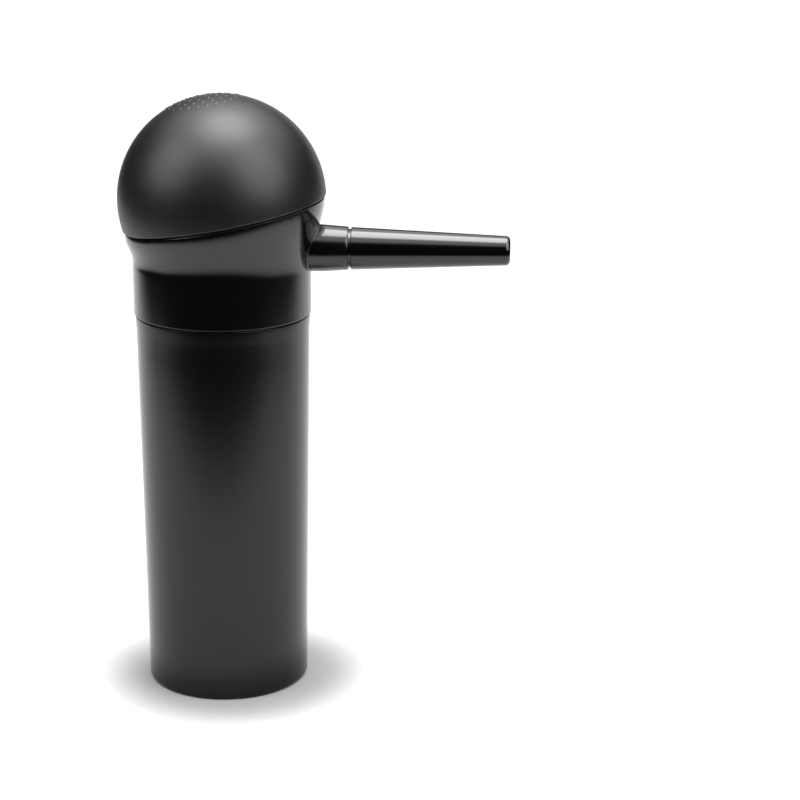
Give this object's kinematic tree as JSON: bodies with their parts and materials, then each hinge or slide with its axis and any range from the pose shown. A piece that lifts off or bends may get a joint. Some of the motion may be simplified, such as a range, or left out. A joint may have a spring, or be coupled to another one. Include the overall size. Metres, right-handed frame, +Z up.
{
  "type": "squeeze-bulb powder applicator",
  "caption": "Screw-neck bottle with a tilted rubber squeeze bulb on a pump head that blows powder out of a long tapered nozzle.",
  "frame": {"origin": "centre of the bottle's base, on the surface it stands on", "axes": "+Z up the bottle's axis, +X along the nozzle towards its tip, +Y completes the right-handed frame"},
  "size_m": [0.093, 0.0494, 0.145],
  "materials": {
    "bottle_plastic": "satin moulded black polypropylene",
    "head_plastic": "semi-gloss moulded black plastic",
    "nozzle_plastic": "glossy moulded black plastic",
    "bulb_rubber": "matte black moulded rubber",
    "seal_rubber": "smooth black rubber",
    "foam_gasket": "white closed-cell foam",
    "inner_plastic_dark": "matte moulded black plastic",
    "inner_plastic_pale": "natural moulded polypropylene",
    "tube_plastic": "natural extruded polyethylene",
    "valve_silicone": "translucent orange-red silicone"
  },
  "bodies": {
    "bottle": {"bottle": "bottle_plastic"},
    "gasket_carrier": {"neck_gasket": "foam_gasket"},
    "head": {"head_shell": "head_plastic", "threaded_sleeve": "inner_plastic_dark", "valve_plate": "inner_plastic_pale", "plate_gasket": "seal_rubber", "bulb_skirt": "bulb_rubber", "bulb_clamp_ring": "inner_plastic_pale", "inlet_valve_cage": "inner_plastic_pale", "outlet_valve_cage": "inner_plastic_pale", "air_tube": "tube_plastic", "air_tube_tip": "inner_plastic_pale"},
    "bulb_crown": {"bulb_dome": "bulb_rubber"},
    "inlet_disc": {"inlet_valve_disc": "valve_silicone"},
    "outlet_disc": {"outlet_valve_disc": "valve_silicone"},
    "nozzle": {"nozzle": "nozzle_plastic", "nozzle_o_ring": "seal_rubber"}
  },
  "joints": [
    {"name": "head_lift", "type": "slide", "parent": "bottle", "child": "gasket_carrier", "axis": [0, 0, 1], "range_m": [0, 0.004]},
    {"name": "head_turn", "type": "hinge", "parent": "gasket_carrier", "child": "head", "pos_m": [0, 0, 0.1], "axis": [0, 0, 1], "range_deg": [0, 360]},
    {"name": "bulb_squeeze", "type": "slide", "parent": "head", "child": "bulb_crown", "axis": [0.1822, 0, -0.9833], "range_m": [0, 0.012], "stiffness_N_per_m": 600},
    {"name": "nozzle_pull", "type": "slide", "parent": "head", "child": "nozzle", "axis": [1, 0, 0], "range_m": [0, 0.0095]},
    {"name": "inlet_valve_lift", "type": "slide", "parent": "head", "child": "inlet_disc", "axis": [-0.1822, 0, 0.9833], "range_m": [0, 0.0011]},
    {"name": "outlet_valve_lift", "type": "slide", "parent": "head", "child": "outlet_disc", "axis": [0, 0, 1], "range_m": [0, 0.0011]}
  ],
  "couplings": [
    {"joint": "head_lift", "follows": "head_turn", "m_per_rad": 0.0006366}
  ]
}
